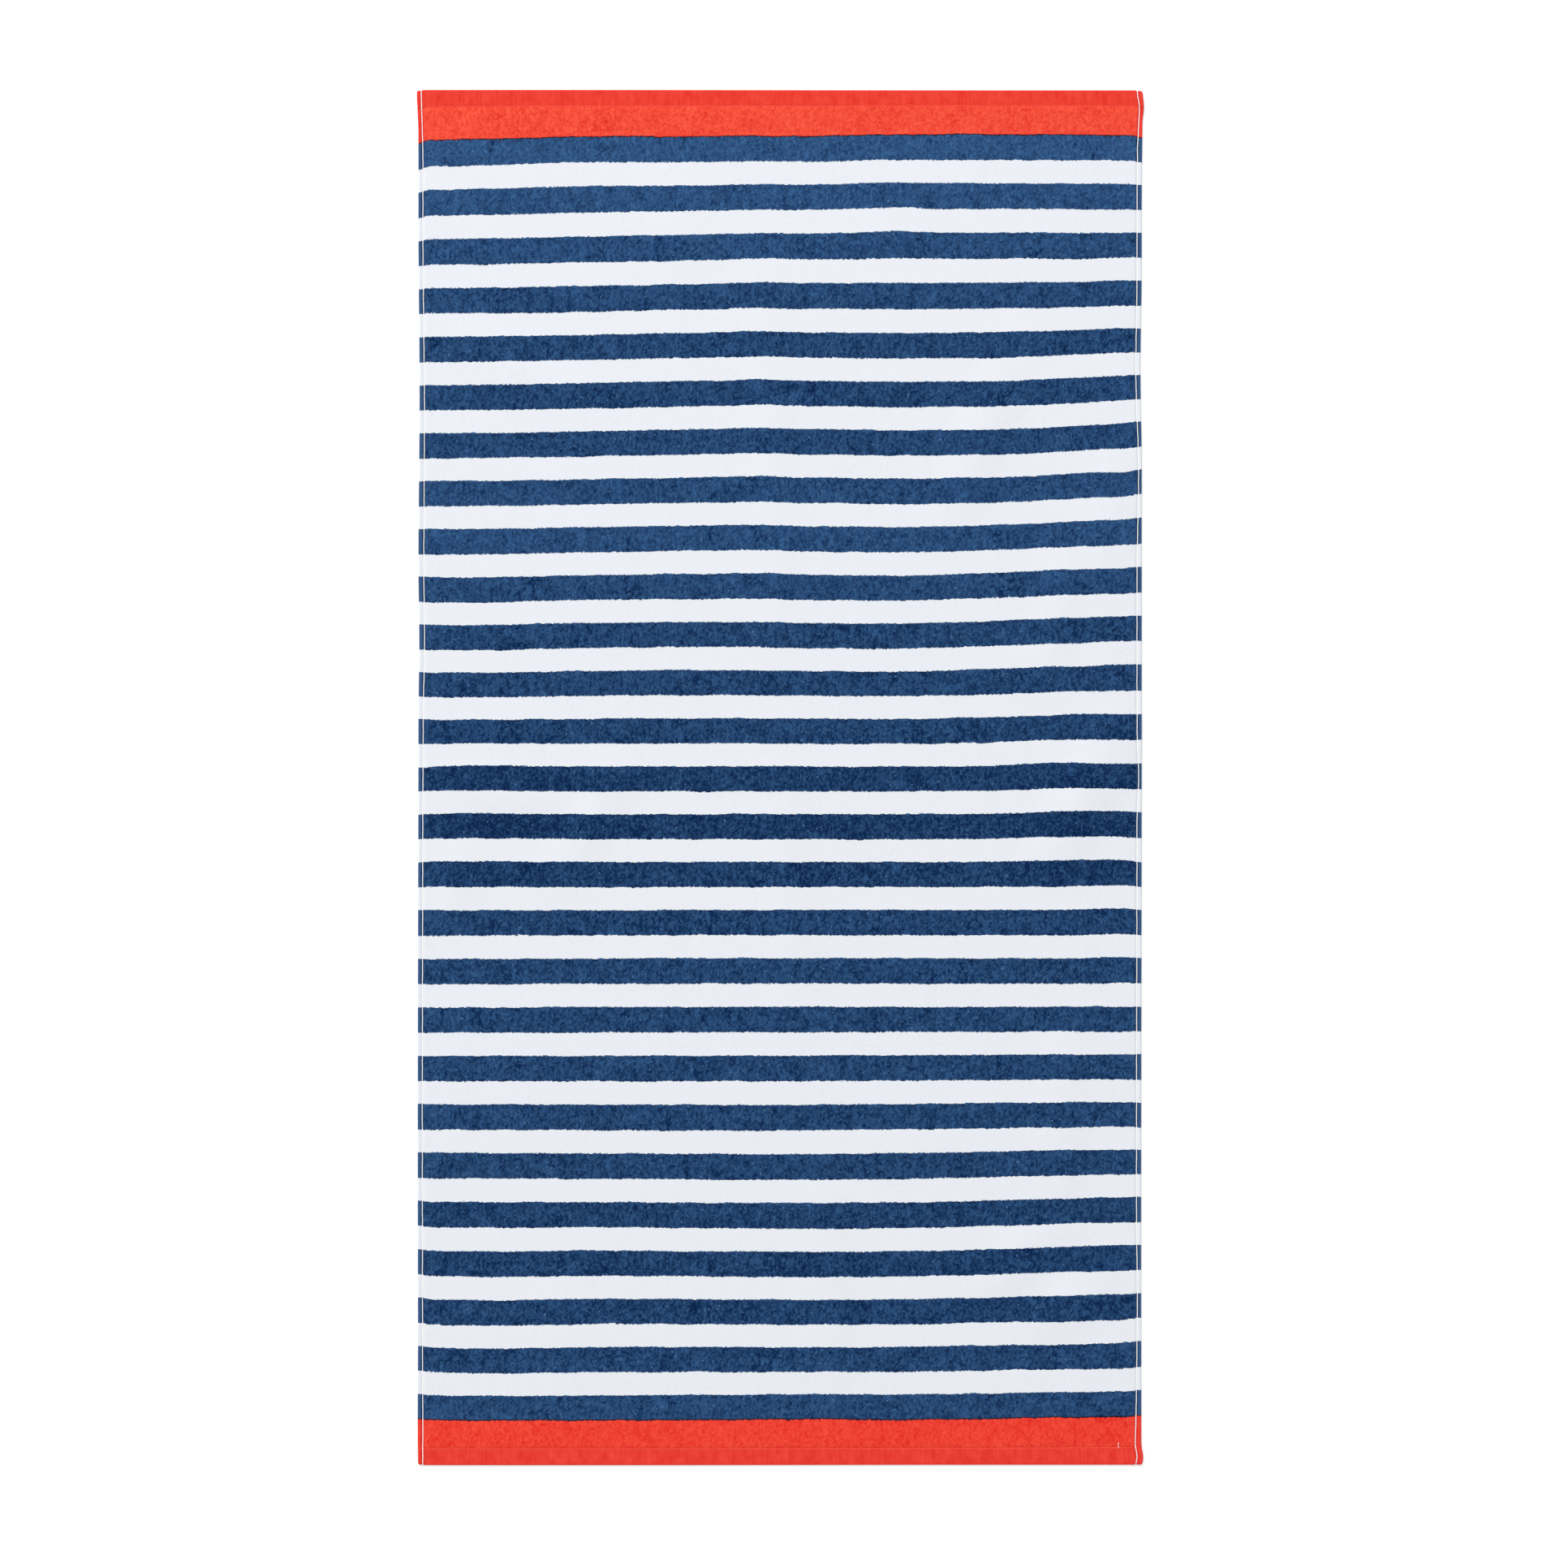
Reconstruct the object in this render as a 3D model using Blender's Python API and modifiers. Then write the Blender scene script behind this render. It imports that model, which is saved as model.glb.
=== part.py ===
"""A striped beach towel of sheared cotton terry, laid out flat.

Metres, +Z up. The towel's length runs along Y and its width along X. The origin is on the surface that
the towel lies on, under the middle of its outline.
"""

import math
from collections import namedtuple

import bmesh
import bpy
from mathutils import Vector

# ---------------------------------------------------------------- driving sizes
TOWEL_WIDTH = 0.8945
TOWEL_LENGTH = 1.700

# Side hems are narrow and end hems are wide. Each is folded under and sewn with one line of stitches. A hem
# is measured to where the pile starts, and a seam to its stitches. The end seams stop at the side hems.
SIDE_HEM = 0.0074
SIDE_SEAM = 0.0056
END_HEM = 0.0212
END_SEAM = 0.0202
CORNER_ROUND = 0.0022
CORNER_STEPS = 2

# Pile makes the cloth thick. It is thinner on its hems and thinnest along a seam. At a corner both hems lie
# over each other, and it is thickest there.
PILE_THICKNESS = 0.0030
HEM_THICKNESS = 0.0023
SEAM_THICKNESS = 0.0017
CORNER_THICKNESS = 0.0034

# Cells of the sheet, about 22 mm each way.
CELLS_ACROSS = 40
CELLS_ALONG = 76
SAME_PLACE = 0.00002

CLOTH_COLOUR = (0.018, 0.058, 0.155, 1.0)
CLOTH_ROUGHNESS = 0.95
CLOTH_METALLIC = 0.0

# ---------------------------------------------------------------- how the cloth lies
# A crease is a soft ridge from one place on the towel to another. It rises and falls along its run, and
# it is highest on its middle line. Reach is how far it spreads to each side of that line.
Crease = namedtuple("Crease", "start_x start_y end_x end_y reach height")
CREASES = (
    # The old lengthwise fold, which drifts to the right near the bottom end.
    Crease(-0.018, 0.690, -0.002, 0.060, 0.045, 0.0020),
    Crease(-0.004, 0.130, 0.022, -0.430, 0.050, 0.0024),
    Crease(0.034, -0.450, 0.070, -0.770, 0.055, 0.0028),
    # The old crosswise fold, which shows at both sides.
    Crease(-0.428, -0.004, -0.240, -0.038, 0.045, 0.0034),
    Crease(0.432, 0.095, 0.322, -0.140, 0.055, 0.0046),
    # Slanting creases in the upper half.
    Crease(0.305, 0.570, 0.190, 0.270, 0.048, 0.0030),
    Crease(0.378, 0.340, 0.310, 0.080, 0.045, 0.0024),
    Crease(0.425, 0.430, 0.395, 0.210, 0.040, 0.0022),
    Crease(-0.145, 0.770, -0.100, 0.610, 0.050, 0.0020),
    Crease(-0.420, 0.560, -0.220, 0.440, 0.060, 0.0020),
    # Slanting creases in the lower half.
    Crease(-0.175, 0.060, -0.300, -0.170, 0.048, 0.0028),
    Crease(-0.385, -0.040, -0.405, -0.190, 0.040, 0.0020),
    Crease(0.352, -0.300, 0.342, -0.560, 0.045, 0.0030),
    Crease(0.372, -0.520, 0.225, -0.660, 0.048, 0.0028),
    Crease(0.425, -0.600, 0.290, -0.700, 0.045, 0.0026),
    Crease(-0.290, -0.580, -0.240, -0.760, 0.060, 0.0020),
)

# A bulge moves the outline out along one side of the towel, or in where it is negative. Place is measured
# along that side from its middle, and reach is how far the bulge spreads each way.
Bulge = namedtuple("Bulge", "place reach out")
LEFT_BULGES = (
    Bulge(0.850, 0.050, 0.0019),
    Bulge(0.480, 0.220, -0.0014),
    Bulge(0.170, 0.100, -0.0011),
    Bulge(-0.450, 0.550, 0.0008),
    Bulge(-0.800, 0.110, 0.0006),
)
RIGHT_BULGES = (
    Bulge(0.830, 0.022, 0.0017),
    Bulge(0.850, 0.160, 0.0011),
    Bulge(0.500, 0.130, -0.0015),
    Bulge(-0.550, 0.600, -0.0007),
    Bulge(-0.841, 0.016, 0.0023),
)
TOP_BULGES = (
    Bulge(-0.300, 0.600, 0.0005),
    Bulge(-0.447, 0.010, -0.0009),
    Bulge(0.447, 0.010, -0.0008),
)
BOTTOM_BULGES = (
    Bulge(-0.300, 0.600, 0.0005),
    Bulge(-0.447, 0.010, -0.0006),
)


def soft_hump(distance, reach):
    """1 in the middle, 0 from reach outwards, and smooth between."""
    if distance >= reach:
        return 0.0
    return 0.5 + 0.5 * math.cos(math.pi * distance / reach)


def crease_lift(crease, x, y):
    """How far one crease lifts the cloth at a place."""
    start = Vector((crease.start_x, crease.start_y))
    run = Vector((crease.end_x, crease.end_y)) - start
    place = Vector((x, y)) - start
    along = place.dot(run) / run.length_squared
    if along <= 0.0 or along >= 1.0:
        return 0.0
    aside = (place - run * along).length
    return crease.height * math.sin(math.pi * along) * soft_hump(aside, crease.reach)


def cloth_lift(x, y):
    """How high the underside is above the surface. It is nothing wherever no crease runs."""
    return max(crease_lift(crease, x, y) for crease in CREASES)


def outline_shift(bulges, place):
    """How far out the outline lies at a place along one side."""
    return sum(bulge.out * soft_hump(abs(place - bulge.place), bulge.reach) for bulge in bulges)


def lay_point(x, y):
    """Where a point of the straight, flat cloth lies. The inside of the towel stays, and its edges shift."""
    half_width = TOWEL_WIDTH / 2
    half_length = TOWEL_LENGTH / 2
    right_share = max(x / half_width, 0.0)
    left_share = max(-x / half_width, 0.0)
    top_share = max(y / half_length, 0.0)
    bottom_share = max(-y / half_length, 0.0)
    across = outline_shift(RIGHT_BULGES, y) * right_share - outline_shift(LEFT_BULGES, y) * left_share
    lengthways = outline_shift(TOP_BULGES, x) * top_share - outline_shift(BOTTOM_BULGES, x) * bottom_share
    return Vector((x + across, y + lengthways, cloth_lift(x, y)))


def cloth_thickness(x, y):
    """The cloth's thickness at a place on the flat cloth: pile, hem, seam or corner."""
    from_side = TOWEL_WIDTH / 2 - abs(x)
    from_end = TOWEL_LENGTH / 2 - abs(y)
    on_side_hem = from_side < SIDE_HEM - SAME_PLACE
    on_end_hem = from_end < END_HEM - SAME_PLACE
    on_side_seam = abs(from_side - SIDE_SEAM) < SAME_PLACE
    on_end_seam = abs(from_end - END_SEAM) < SAME_PLACE and not on_side_hem
    if on_side_seam or on_end_seam:
        return SEAM_THICKNESS
    if on_side_hem and on_end_hem:
        return CORNER_THICKNESS
    if on_side_hem or on_end_hem:
        return HEM_THICKNESS
    return PILE_THICKNESS


def cut_line(mesh, place, direction):
    """Cut the flat sheet along a straight line, and leave both sides in place."""
    everything = mesh.verts[:] + mesh.edges[:] + mesh.faces[:]
    bmesh.ops.bisect_plane(mesh, geom=everything, dist=SAME_PLACE, plane_co=place, plane_no=direction)


def flat_cloth():
    """The flat sheet in its cells, with lines along its seams and hems, and with rounded corners."""
    mesh = bmesh.new()
    bmesh.ops.create_grid(mesh, x_segments=CELLS_ACROSS, y_segments=CELLS_ALONG, size=0.5)
    bmesh.ops.scale(mesh, vec=(TOWEL_WIDTH, TOWEL_LENGTH, 1.0), verts=mesh.verts)
    for side in (-1, 1):
        for inset in (SIDE_SEAM, SIDE_HEM):
            cut_line(mesh, (side * (TOWEL_WIDTH / 2 - inset), 0, 0), (1, 0, 0))
        for inset in (END_SEAM, END_HEM):
            cut_line(mesh, (0, side * (TOWEL_LENGTH / 2 - inset), 0), (0, 1, 0))
    corners = [vertex for vertex in mesh.verts if len(vertex.link_edges) == 2]
    bmesh.ops.bevel(mesh, geom=corners, offset=CORNER_ROUND, segments=CORNER_STEPS, affect="VERTICES")
    return mesh


def centre_on_origin(mesh):
    """Move the sheet so that the middle of its outline is over the origin."""
    across = [vertex.co.x for vertex in mesh.verts]
    lengthways = [vertex.co.y for vertex in mesh.verts]
    middle = Vector((min(across) + max(across), min(lengthways) + max(lengthways), 0.0)) / 2
    bmesh.ops.translate(mesh, vec=-middle, verts=mesh.verts)


def cloth_material():
    """Dyed cotton with no shine."""
    material = bpy.data.materials.new("towel_cloth")
    material.use_nodes = True
    shader = material.node_tree.nodes["Principled BSDF"]
    shader.inputs["Base Color"].default_value = CLOTH_COLOUR
    shader.inputs["Roughness"].default_value = CLOTH_ROUGHNESS
    shader.inputs["Metallic"].default_value = CLOTH_METALLIC
    return material


def make_towel(collection):
    """The towel: one sheet of cloth whose underside rests on the surface between its creases."""
    sheet = flat_cloth()
    shares = [cloth_thickness(vertex.co.x, vertex.co.y) / PILE_THICKNESS for vertex in sheet.verts]
    for vertex in sheet.verts:
        vertex.co = lay_point(vertex.co.x, vertex.co.y)
    centre_on_origin(sheet)
    bmesh.ops.recalc_face_normals(sheet, faces=sheet.faces)
    if sum(face.normal.z for face in sheet.faces) < 0:
        bmesh.ops.reverse_faces(sheet, faces=sheet.faces)
    mesh = bpy.data.meshes.new("towel")
    sheet.to_mesh(mesh)
    sheet.free()
    mesh.shade_smooth()

    towel = bpy.data.objects.new("towel", mesh)
    collection.objects.link(towel)
    towel.data.materials.append(cloth_material())
    thickness_group = towel.vertex_groups.new(name="thickness")
    for index, share in enumerate(shares):
        thickness_group.add([index], share, "REPLACE")
    body = towel.modifiers.new("cloth thickness", "SOLIDIFY")
    body.thickness = PILE_THICKNESS
    body.offset = 1.0
    body.vertex_group = thickness_group.name
    body.thickness_vertex_group = 0.0
    return towel


def main():
    for old in list(bpy.data.objects):
        bpy.data.objects.remove(old)
    collection = bpy.data.collections.new("beach_towel")
    bpy.context.scene.collection.children.link(collection)
    make_towel(collection)


main()
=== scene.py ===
# %% [markdown]
# # A striped beach towel, laid out flat
#
# The real thing is one rectangle of cotton terry. Its back has the usual loops. On its face the loops are sheared
# to a short, soft pile and printed: navy and white stripes across the towel and a red band at each end. All four
# edges are folded under and sewn. The towel lies on a pale floor and is seen from straight above.
#
# Everything here is in metres. The length runs along Y, the width along X and the pile points up, along Z.

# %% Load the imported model
import math
from collections import namedtuple

import bpy
import numpy as np
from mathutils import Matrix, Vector, noise


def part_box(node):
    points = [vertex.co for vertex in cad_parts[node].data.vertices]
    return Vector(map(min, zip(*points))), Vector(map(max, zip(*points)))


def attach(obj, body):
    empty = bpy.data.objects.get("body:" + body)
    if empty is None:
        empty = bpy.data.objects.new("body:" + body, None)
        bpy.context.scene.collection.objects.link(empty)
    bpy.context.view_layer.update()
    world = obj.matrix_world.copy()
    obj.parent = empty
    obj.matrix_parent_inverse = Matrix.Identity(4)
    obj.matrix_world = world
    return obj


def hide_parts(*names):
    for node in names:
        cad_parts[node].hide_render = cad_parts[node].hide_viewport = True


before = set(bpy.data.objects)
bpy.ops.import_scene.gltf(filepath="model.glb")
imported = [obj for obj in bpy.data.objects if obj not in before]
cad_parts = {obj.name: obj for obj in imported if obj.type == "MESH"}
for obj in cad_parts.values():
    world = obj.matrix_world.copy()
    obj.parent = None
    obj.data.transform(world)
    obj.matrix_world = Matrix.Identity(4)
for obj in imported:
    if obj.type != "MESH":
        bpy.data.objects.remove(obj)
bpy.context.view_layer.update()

cad_low, cad_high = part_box("towel")
print("packed towel from", [round(value, 4) for value in cad_low], "to", [round(value, 4) for value in cad_high])

# %% [markdown]
# ## Sizes
#
# A towel is planned flat, before it is sewn and before it is laid down. So every place on it is given here by two
# numbers on the straight, flat cloth: `u` across it and `v` along it, both from its middle. Later one function says
# where a flat place ends up on the laid towel. The same two numbers also place the print, so the stripes follow
# the cloth wherever it is pulled a little off square.

# %% Sizes of the sewn towel
TOWEL_WIDTH = 0.8945
TOWEL_LENGTH = 1.700
HALF_WIDTH = TOWEL_WIDTH / 2
HALF_LENGTH = TOWEL_LENGTH / 2

# Insets from the edge. The folded layer of a side hem ends at SIDE_HEM, behind pile that starts at SIDE_PILE.
SIDE_HEM = 0.0105
SIDE_PILE = 0.0074
SIDE_SEAM = 0.0056
END_HEM = 0.0212
END_SEAM = 0.0202
CORNER_ROUND = 0.0022
CORNER_STEPS = 3

PILE_THICKNESS = 0.0030
print("stretch of pile:", round(TOWEL_WIDTH - 2 * SIDE_PILE, 4), "by", round(TOWEL_LENGTH - 2 * END_HEM, 4), "m")

# %% [markdown]
# ## How the cloth lies
#
# A towel that was folded in a cupboard keeps its fold lines, and cloth that is spread by hand keeps a few shallow
# creases. Each one is a soft ridge, given one by one: from where to where it runs, how far it reaches to each side
# and how high it stands. The outline isn't quite straight either, and the cloth is pulled a few millimetres off
# square, which shows in the stripes. A cloth simulation would settle these at random, and here they have to be in
# their own places, so short tables say where they are.

# %% Creases, as in the solid model
Crease = namedtuple("Crease", "start_x start_y end_x end_y reach height")
CREASES = (
    # The old lengthwise fold, which drifts to the right near the bottom end.
    Crease(-0.018, 0.690, -0.002, 0.060, 0.045, 0.0020),
    Crease(-0.004, 0.130, 0.022, -0.430, 0.050, 0.0024),
    Crease(0.034, -0.450, 0.070, -0.770, 0.055, 0.0028),
    # The old crosswise fold, which shows at both sides.
    Crease(-0.428, -0.004, -0.240, -0.038, 0.045, 0.0034),
    Crease(0.432, 0.095, 0.322, -0.140, 0.055, 0.0046),
    # Slanting creases in the upper half.
    Crease(0.305, 0.570, 0.190, 0.270, 0.048, 0.0030),
    Crease(0.378, 0.340, 0.310, 0.080, 0.045, 0.0024),
    Crease(0.425, 0.430, 0.395, 0.210, 0.040, 0.0022),
    Crease(-0.145, 0.770, -0.100, 0.610, 0.050, 0.0020),
    Crease(-0.420, 0.560, -0.220, 0.440, 0.060, 0.0020),
    # Slanting creases in the lower half.
    Crease(-0.175, 0.060, -0.300, -0.170, 0.048, 0.0028),
    Crease(-0.385, -0.040, -0.405, -0.190, 0.040, 0.0020),
    Crease(0.352, -0.300, 0.342, -0.560, 0.045, 0.0030),
    Crease(0.372, -0.520, 0.225, -0.660, 0.048, 0.0028),
    Crease(0.425, -0.600, 0.290, -0.700, 0.045, 0.0026),
    Crease(-0.290, -0.580, -0.240, -0.760, 0.060, 0.0020),
)
print(len(CREASES), "creases, the highest", max(crease.height for crease in CREASES) * 1000, "mm")

# %% Bulges of the outline, as in the solid model, and the wander of the side seams
# Place is measured along the side from its middle. Out is how far the edge, or the seam's inset, is moved there.
Bulge = namedtuple("Bulge", "place reach out")
LEFT_BULGES = (
    Bulge(0.850, 0.050, 0.0019),
    Bulge(0.480, 0.220, -0.0014),
    Bulge(0.170, 0.100, -0.0011),
    Bulge(-0.450, 0.550, 0.0008),
    Bulge(-0.800, 0.110, 0.0006),
)
RIGHT_BULGES = (
    Bulge(0.830, 0.022, 0.0017),
    Bulge(0.850, 0.160, 0.0011),
    Bulge(0.500, 0.130, -0.0015),
    Bulge(-0.550, 0.600, -0.0007),
    Bulge(-0.841, 0.016, 0.0023),
)
TOP_BULGES = (
    Bulge(-0.300, 0.600, 0.0005),
    Bulge(-0.447, 0.010, -0.0009),
    Bulge(0.447, 0.010, -0.0008),
    # Where the side seams pull in the end edge.
    Bulge(-0.4417, 0.0018, -0.0010),
    Bulge(0.4417, 0.0018, -0.0010),
)
BOTTOM_BULGES = (
    Bulge(-0.300, 0.600, 0.0005),
    Bulge(-0.447, 0.010, -0.0006),
    Bulge(-0.4417, 0.0018, -0.0010),
    Bulge(0.4417, 0.0018, -0.0010),
)
LEFT_SEAM_WANDER = (
    Bulge(0.810, 0.040, -0.0007),
    Bulge(0.280, 0.330, 0.0011),
    Bulge(-0.800, 0.080, 0.0007),
)
RIGHT_SEAM_WANDER = (
    Bulge(0.850, 0.035, 0.0010),
    Bulge(0.810, 0.035, -0.0010),
    Bulge(0.370, 0.130, -0.0019),
    Bulge(-0.003, 0.060, -0.0020),
    Bulge(-0.650, 0.120, -0.0009),
    Bulge(-0.850, 0.110, 0.0021),
)

# %% Broad pulls that shift the cloth along its length
# A pull is strongest at its place and fades out over its reach across and along the towel.
Pull = namedtuple("Pull", "x y reach_x reach_y shift")
BROAD_PULLS = (
    Pull(-0.43, 0.50, 0.46, 0.56, -0.0064),
    Pull(-0.24, 0.80, 0.26, 0.20, 0.0020),
    Pull(0.46, 0.34, 0.32, 0.66, 0.0064),
    Pull(0.22, 0.78, 0.40, 0.26, 0.0046),
    Pull(-0.02, 0.76, 0.22, 0.22, 0.0018),
    Pull(0.17, 0.38, 0.20, 0.44, -0.0026),
    Pull(-0.40, 0.08, 0.24, 0.18, -0.0016),
    Pull(0.46, -0.62, 0.32, 0.46, 0.0052),
    Pull(0.04, -0.58, 0.46, 0.26, -0.0030),
    Pull(-0.36, -0.66, 0.16, 0.22, -0.0032),
    Pull(0.00, -0.20, 0.70, 0.26, 0.0018),
    Pull(0.38, -0.02, 0.14, 0.20, 0.0026),
    Pull(-0.40, -0.06, 0.20, 0.20, 0.0016),
    Pull(-0.02, 0.45, 0.06, 0.45, 0.0018),
    Pull(-0.38, 0.02, 0.16, 0.06, 0.0016),
)

# %% Smaller pulls, a hand's width or two across
SMALL_PULLS = (
    Pull(-0.24, 0.76, 0.18, 0.18, 0.0018),
    Pull(0.03, 0.82, 0.10, 0.14, -0.0020),
    Pull(0.15, 0.68, 0.09, 0.12, 0.0027),
    Pull(0.37, 0.64, 0.12, 0.14, -0.0019),
    Pull(0.31, 0.44, 0.13, 0.24, -0.0029),
    Pull(0.00, 0.40, 0.08, 0.46, -0.0012),
    Pull(-0.38, 0.22, 0.14, 0.16, -0.0018),
    Pull(0.08, 0.18, 0.18, 0.22, -0.0014),
    Pull(0.43, 0.16, 0.07, 0.08, 0.0020),
    Pull(0.41, 0.01, 0.07, 0.06, -0.0022),
    Pull(-0.44, 0.01, 0.04, 0.03, -0.0020),
    Pull(0.42, -0.19, 0.07, 0.12, 0.0019),
    Pull(0.22, -0.43, 0.26, 0.16, 0.0012),
    Pull(0.37, -0.69, 0.12, 0.12, -0.0019),
    Pull(-0.22, -0.76, 0.14, 0.08, -0.0010),
    Pull(0.03, -0.79, 0.10, 0.06, 0.0011),
)

# %% Slips of the narrow side hems, which crept under the sewing foot
HEM_SLIPS = (
    Pull(-0.452, 0.80, 0.022, 0.30, -0.0036),
    Pull(-0.452, 0.16, 0.022, 0.16, 0.0010),
    Pull(-0.452, -0.06, 0.022, 0.12, -0.0015),
    Pull(-0.452, -0.66, 0.030, 0.26, 0.0013),
    Pull(0.452, 0.78, 0.022, 0.12, -0.0016),
    Pull(0.452, 0.36, 0.030, 0.24, 0.0038),
    Pull(0.452, -0.11, 0.030, 0.16, -0.0018),
    Pull(0.452, -0.42, 0.020, 0.10, -0.0014),
    Pull(0.452, -0.72, 0.030, 0.22, 0.0015),
)
PULLS = BROAD_PULLS + SMALL_PULLS + HEM_SLIPS
# The end hems hold the cloth straight, so the pulls fade out over this distance towards each end.
END_HOLD = 0.056
print(len(PULLS), "pulls, the strongest", max(abs(pull.shift) for pull in PULLS) * 1000, "mm")

# %% [markdown]
# ## The section of a hem
#
# From the edge inwards a hem is a round fold, a firm strip, a seam that presses the layers together, a bit more
# strip, and then the pile starts and stands higher. On the back the folded layer ends in a small step. One short
# table for each kind of hem gives the top and the underside at a few insets from the edge, and the sheet gets a
# line of vertices at each of those insets, so the section really is in the mesh.

# %% Hem sections, in metres from the edge and above the floor
Section = namedtuple("Section", "inset top underside")
SIDE_SECTION = (
    Section(0.0000, 0.00130, 0.00095),
    Section(0.0004, 0.00195, 0.00042),
    Section(0.0010, 0.00226, 0.00014),
    Section(0.0020, 0.00240, 0.00000),
    Section(0.0040, 0.00238, 0.00000),
    Section(0.0046, 0.00198, 0.00006),
    Section(SIDE_SEAM, 0.00135, 0.00024),
    Section(0.0066, 0.00180, 0.00006),
    Section(SIDE_PILE, 0.00248, 0.00000),
    Section(0.0082, 0.00288, 0.00000),
    Section(0.0094, 0.00300, 0.00000),
    Section(SIDE_HEM, 0.00300, 0.00006),
    Section(0.0111, 0.00300, 0.00056),
    Section(0.0123, 0.00300, 0.00062),
    Section(0.0150, 0.00300, 0.00040),
    Section(0.0210, 0.00300, 0.00010),
    Section(0.0290, 0.00300, 0.00000),
)
END_SECTION = (
    Section(0.0000, 0.00130, 0.00095),
    Section(0.0004, 0.00195, 0.00042),
    Section(0.0010, 0.00228, 0.00014),
    Section(0.0020, 0.00242, 0.00000),
    Section(0.0060, 0.00236, 0.00000),
    Section(0.0130, 0.00234, 0.00000),
    Section(0.0180, 0.00232, 0.00000),
    Section(0.0195, 0.00212, 0.00004),
    Section(END_SEAM, 0.00178, 0.00022),
    Section(0.0209, 0.00222, 0.00010),
    Section(0.0216, 0.00262, 0.00052),
    Section(0.0228, 0.00292, 0.00062),
    Section(0.0260, 0.00300, 0.00040),
    Section(0.0320, 0.00300, 0.00010),
    Section(0.0400, 0.00300, 0.00000),
)
# At a corner the side hem is folded over the end hem, so the layers add up between the end and this inset from it.
CORNER_EXTRA = 0.0011
CORNER_FOLD = 0.0206
print("lines along each side:", len(SIDE_SECTION), "and along each end:", len(END_SECTION))

# %% Two smooth curves, for all that fades out or rises
def hump(distance, reach):
    """1 in the middle, 0 from reach outwards, and smooth between."""
    share = np.clip(np.abs(distance) / reach, 0.0, 1.0)
    return 0.5 + 0.5 * np.cos(np.pi * share)


def rise(value, start, end):
    """0 before start, 1 after end, and smooth between."""
    share = np.clip((value - start) / (end - start), 0.0, 1.0)
    return share * share * (3.0 - 2.0 * share)


print("half way, a hump is", float(hump(0.5, 1.0)), "high and a rise is", float(rise(0.5, 0.0, 1.0)))

# %% How far the creases lift the cloth
def crease_lift(x, y):
    """How far the creases lift the cloth off the floor at each place."""
    lift = np.zeros(len(x))
    for crease in CREASES:
        run_x = crease.end_x - crease.start_x
        run_y = crease.end_y - crease.start_y
        length = math.hypot(run_x, run_y)
        along = ((x - crease.start_x) * run_x + (y - crease.start_y) * run_y) / length**2
        aside = ((x - crease.start_x) * run_y - (y - crease.start_y) * run_x) / length
        ridge = crease.height * np.sin(np.pi * np.clip(along, 0.0, 1.0)) * hump(aside, crease.reach)
        lift = np.maximum(lift, ridge)
    return lift


highest = max(CREASES, key=lambda crease: crease.height)
highest_x = np.array([(highest.start_x + highest.end_x) / 2])
highest_y = np.array([(highest.start_y + highest.end_y) / 2])
print("the highest crease lifts it", round(crease_lift(highest_x, highest_y)[0] * 1000, 2), "mm in its middle")

# %% Where a place on the flat cloth comes to lie
def along_side(bulges, place):
    """The sum of a side's bulges at a place along it."""
    return sum(bulge.out * hump(place - bulge.place, bulge.reach) for bulge in bulges)


def lay_flat_place(u, v):
    """The x and y of flat places on the laid towel, before it is centred on the origin."""
    right_share = np.clip(u / HALF_WIDTH, 0.0, 1.0)
    left_share = np.clip(-u / HALF_WIDTH, 0.0, 1.0)
    top_share = np.clip(v / HALF_LENGTH, 0.0, 1.0)
    bottom_share = np.clip(-v / HALF_LENGTH, 0.0, 1.0)
    from_side = HALF_WIDTH - np.abs(u)
    from_end = HALF_LENGTH - np.abs(v)

    # The wander is full on the seam, and nothing at the edge and at three times the seam's inset.
    near_seam = np.interp(from_side, (0.0, SIDE_SEAM, 3 * SIDE_SEAM), (0.0, 1.0, 0.0))
    seam_wander = np.where(u > 0, -along_side(RIGHT_SEAM_WANDER, v), along_side(LEFT_SEAM_WANDER, v))
    x = u + along_side(RIGHT_BULGES, v) * right_share - along_side(LEFT_BULGES, v) * left_share
    x = x + seam_wander * near_seam

    pull = sum(row.shift * hump(u - row.x, row.reach_x) * hump(v - row.y, row.reach_y) for row in PULLS)
    y = v + along_side(TOP_BULGES, u) * top_share - along_side(BOTTOM_BULGES, u) * bottom_share
    y = y + pull * rise(from_end, 0.0, END_HOLD)
    return x, y


# %% The middle of the outline, so that the towel is centred where the solid model is
edge = np.linspace(-1.0, 1.0, 801)
whole_edge = np.ones_like(edge)
side_x = [lay_flat_place(side * HALF_WIDTH * whole_edge, edge * HALF_LENGTH)[0] for side in (-1, 1)]
end_y = [lay_flat_place(edge * HALF_WIDTH, end * HALF_LENGTH * whole_edge)[1] for end in (-1, 1)]
CENTRE_X = (side_x[0].min() + side_x[1].max()) / 2
CENTRE_Y = (end_y[0].min() + end_y[1].max()) / 2
print("outline", round(np.ptp(side_x), 4), "by", round(np.ptp(end_y), 4), "m")


# %% How thick the layers are at a distance from the edges
def section_height(section, column, inset):
    """The height that a hem's section has at an inset from the edge."""
    return np.interp(inset, [row.inset for row in section], [getattr(row, column) for row in section])


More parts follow.
